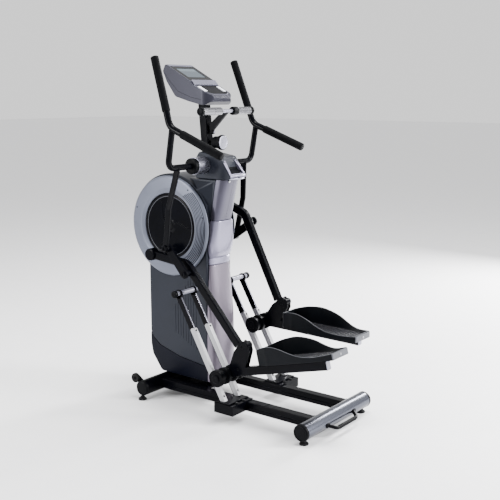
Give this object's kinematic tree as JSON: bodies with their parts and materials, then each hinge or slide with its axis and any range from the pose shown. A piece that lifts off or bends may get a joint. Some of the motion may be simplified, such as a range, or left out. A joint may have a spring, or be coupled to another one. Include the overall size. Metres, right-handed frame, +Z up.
{
  "type": "elliptical trainer",
  "caption": "Front-drive elliptical trainer: inclined roller rails, swinging handles linked to the pedal arms, crank tower with flywheel, fixed grip bar and console.",
  "frame": {"origin": "centre of the footprint, on the floor", "axes": "+X to the user's right, +Y forwards to the crank tower, +Z up"},
  "size_m": [0.6616, 1.28, 1.6694],
  "materials": {
    "black_paint": "gloss",
    "chrome_tube": "polished",
    "black_plastic": "satin",
    "pedal_plastic": "textured",
    "rubber": "matte",
    "aluminium": "satin",
    "steel": "brushed",
    "slate_plastic": "satin",
    "silver_plastic": "metallic satin",
    "console_plastic": "satin",
    "key_panel": "satin",
    "key_silver": "satin",
    "display_glass": "glossy",
    "foam": "matte foam"
  },
  "bodies": {
    "frame": {"base_rail_left": "black_paint", "base_rail_right": "black_paint", "carry_handle": "black_plastic", "console_housing": "console_plastic", "display": "display_glass", "drive_belt": "rubber", "frame_axle": "black_paint", "frame_post": "black_paint", "front_cross_tube": "black_paint", "front_end_cap_left": "black_plastic", "front_end_cap_right": "black_plastic", "grip_bar": "aluminium", "handle_hub": "aluminium", "head_cover": "silver_plastic", "key_panel": "key_panel", "lower_skirt": "black_plastic", "mast": "black_paint", "rear_column": "silver_plastic", "rear_cross_tube": "chrome_tube", "rear_end_cap_left": "black_plastic", "rear_end_cap_right": "black_plastic", "rear_foot_left": "rubber", "rear_foot_right": "rubber", "ring_cover_left": "silver_plastic", "ring_cover_right": "silver_plastic", "slide_rail_inner_left": "aluminium", "slide_rail_inner_right": "aluminium", "slide_rail_outer_left": "aluminium", "slide_rail_outer_right": "aluminium", "strut_frame_left": "black_paint", "strut_frame_right": "black_paint", "tower_shell_left": "slate_plastic", "tower_shell_right": "slate_plastic"},
    "crank": {"crank_axle": "steel", "crank_disc_left": "black_plastic", "crank_disc_right": "black_plastic"},
    "flywheel": {"flywheel": "steel"},
    "knob": {"adjust_knob": "black_plastic"},
    "left_carriage": {"roller_axle_left": "steel"},
    "left_inner_roller": {"roller_inner_left": "rubber"},
    "left_outer_roller": {"roller_outer_left": "rubber"},
    "left_pedal": {"pedal_arm_left": "black_paint", "footplate_left": "pedal_plastic"},
    "left_handle": {"handle_frame_left": "black_paint", "upper_grip_left": "foam", "lower_grip_left": "foam"},
    "left_link": {"link_left": "black_paint"},
    "left_wheel": {"transport_wheel_left": "rubber"},
    "left_key": {"key_rocker_left": "key_silver"},
    "right_carriage": {"roller_axle_right": "steel"},
    "right_inner_roller": {"roller_inner_right": "rubber"},
    "right_outer_roller": {"roller_outer_right": "rubber"},
    "right_pedal": {"pedal_arm_right": "black_paint", "footplate_right": "pedal_plastic"},
    "right_handle": {"handle_frame_right": "black_paint", "upper_grip_right": "foam", "lower_grip_right": "foam"},
    "right_link": {"link_right": "black_paint"},
    "right_wheel": {"transport_wheel_right": "rubber"},
    "right_key": {"key_rocker_right": "key_silver"}
  },
  "joints": [
    {"name": "left_carriage_slide", "type": "slide", "parent": "frame", "child": "left_carriage", "axis": [0, 0.5, 0.866], "range_m": [0, 0.20384]},
    {"name": "right_carriage_slide", "type": "slide", "parent": "frame", "child": "right_carriage", "axis": [0, 0.5, 0.866], "range_m": [-0.2071, 0]},
    {"name": "left_pedal_pitch", "type": "hinge", "parent": "left_carriage", "child": "left_pedal", "pos_m": [-0.191, -0.05497, 0.21014], "axis": [1, 0, 0], "range_deg": [0, 1.08]},
    {"name": "left_inner_roller_spin", "type": "hinge", "parent": "left_carriage", "child": "left_inner_roller", "pos_m": [-0.1415, -0.05497, 0.21014], "axis": [1, 0, 0], "continuous": true},
    {"name": "left_outer_roller_spin", "type": "hinge", "parent": "left_carriage", "child": "left_outer_roller", "pos_m": [-0.2455, -0.05497, 0.21014], "axis": [1, 0, 0], "continuous": true},
    {"name": "left_handle_swing", "type": "hinge", "parent": "frame", "child": "left_handle", "pos_m": [-0.15, 0.19397, 1.1645], "axis": [1, 0, 0], "range_deg": [0, 23.12]},
    {"name": "left_link_hinge", "type": "hinge", "parent": "left_handle", "child": "left_link", "pos_m": [-0.256, 0.26487, 0.781], "axis": [1, 0, 0], "range_deg": [-74.88, 0]},
    {"name": "right_pedal_pitch", "type": "hinge", "parent": "right_carriage", "child": "right_pedal", "pos_m": [0.191, 0.03558, 0.36698], "axis": [1, 0, 0], "range_deg": [-1.06, 0]},
    {"name": "right_inner_roller_spin", "type": "hinge", "parent": "right_carriage", "child": "right_inner_roller", "pos_m": [0.1415, 0.03558, 0.36698], "axis": [1, 0, 0], "continuous": true},
    {"name": "right_outer_roller_spin", "type": "hinge", "parent": "right_carriage", "child": "right_outer_roller", "pos_m": [0.2455, 0.03558, 0.36698], "axis": [1, 0, 0], "continuous": true},
    {"name": "right_handle_swing", "type": "hinge", "parent": "frame", "child": "right_handle", "pos_m": [0.15, 0.19397, 1.1645], "axis": [1, 0, 0], "range_deg": [-14.5, 0]},
    {"name": "right_link_hinge", "type": "hinge", "parent": "right_handle", "child": "right_link", "pos_m": [0.256, 0.25054, 0.77868], "axis": [1, 0, 0], "range_deg": [0, 86.91]},
    {"name": "crank_spin", "type": "hinge", "parent": "frame", "child": "crank", "pos_m": [0, 0.38297, 0.859], "axis": [1, 0, 0], "continuous": true},
    {"name": "flywheel_spin", "type": "hinge", "parent": "frame", "child": "flywheel", "pos_m": [0, 0.38997, 0.566], "axis": [1, 0, 0], "continuous": true},
    {"name": "left_wheel_spin", "type": "hinge", "parent": "frame", "child": "left_wheel", "pos_m": [-0.262, 0.47997, 0.102], "axis": [1, 0, 0], "continuous": true},
    {"name": "left_key_rock", "type": "hinge", "parent": "frame", "child": "left_key", "pos_m": [-0.069, 0.19017, 1.5202], "axis": [1, 0, 0], "range_deg": [-2, 2], "stiffness_Nm_per_rad": 0.05},
    {"name": "right_wheel_spin", "type": "hinge", "parent": "frame", "child": "right_wheel", "pos_m": [0.262, 0.47997, 0.102], "axis": [1, 0, 0], "continuous": true},
    {"name": "right_key_rock", "type": "hinge", "parent": "frame", "child": "right_key", "pos_m": [0.069, 0.19017, 1.5202], "axis": [1, 0, 0], "range_deg": [-2, 2], "stiffness_Nm_per_rad": 0.05},
    {"name": "knob_turn", "type": "hinge", "parent": "frame", "child": "knob", "pos_m": [0, 0.16, 1.271], "axis": [0, 1, 0], "continuous": true}
  ],
  "couplings": [
    {"joint": "right_carriage_slide", "follows": "left_carriage_slide", "ratio": -1.0156},
    {"joint": "left_pedal_pitch", "follows": "left_carriage_slide", "rad_per_m": 0.09036},
    {"joint": "left_inner_roller_spin", "follows": "left_carriage_slide", "rad_per_m": -36.364},
    {"joint": "left_outer_roller_spin", "follows": "left_carriage_slide", "rad_per_m": -36.364},
    {"joint": "left_handle_swing", "follows": "left_carriage_slide", "rad_per_m": 1.9739},
    {"joint": "left_link_hinge", "follows": "left_carriage_slide", "rad_per_m": -6.3966},
    {"joint": "right_pedal_pitch", "follows": "left_carriage_slide", "rad_per_m": -0.08859},
    {"joint": "right_inner_roller_spin", "follows": "left_carriage_slide", "rad_per_m": 36.931},
    {"joint": "right_outer_roller_spin", "follows": "left_carriage_slide", "rad_per_m": 36.931},
    {"joint": "right_handle_swing", "follows": "left_carriage_slide", "rad_per_m": -1.2374},
    {"joint": "right_link_hinge", "follows": "left_carriage_slide", "rad_per_m": 7.4244},
    {"joint": "crank_spin", "follows": "left_carriage_slide", "rad_per_m": 8.5622},
    {"joint": "flywheel_spin", "follows": "left_carriage_slide", "rad_per_m": 29.968}
  ]
}
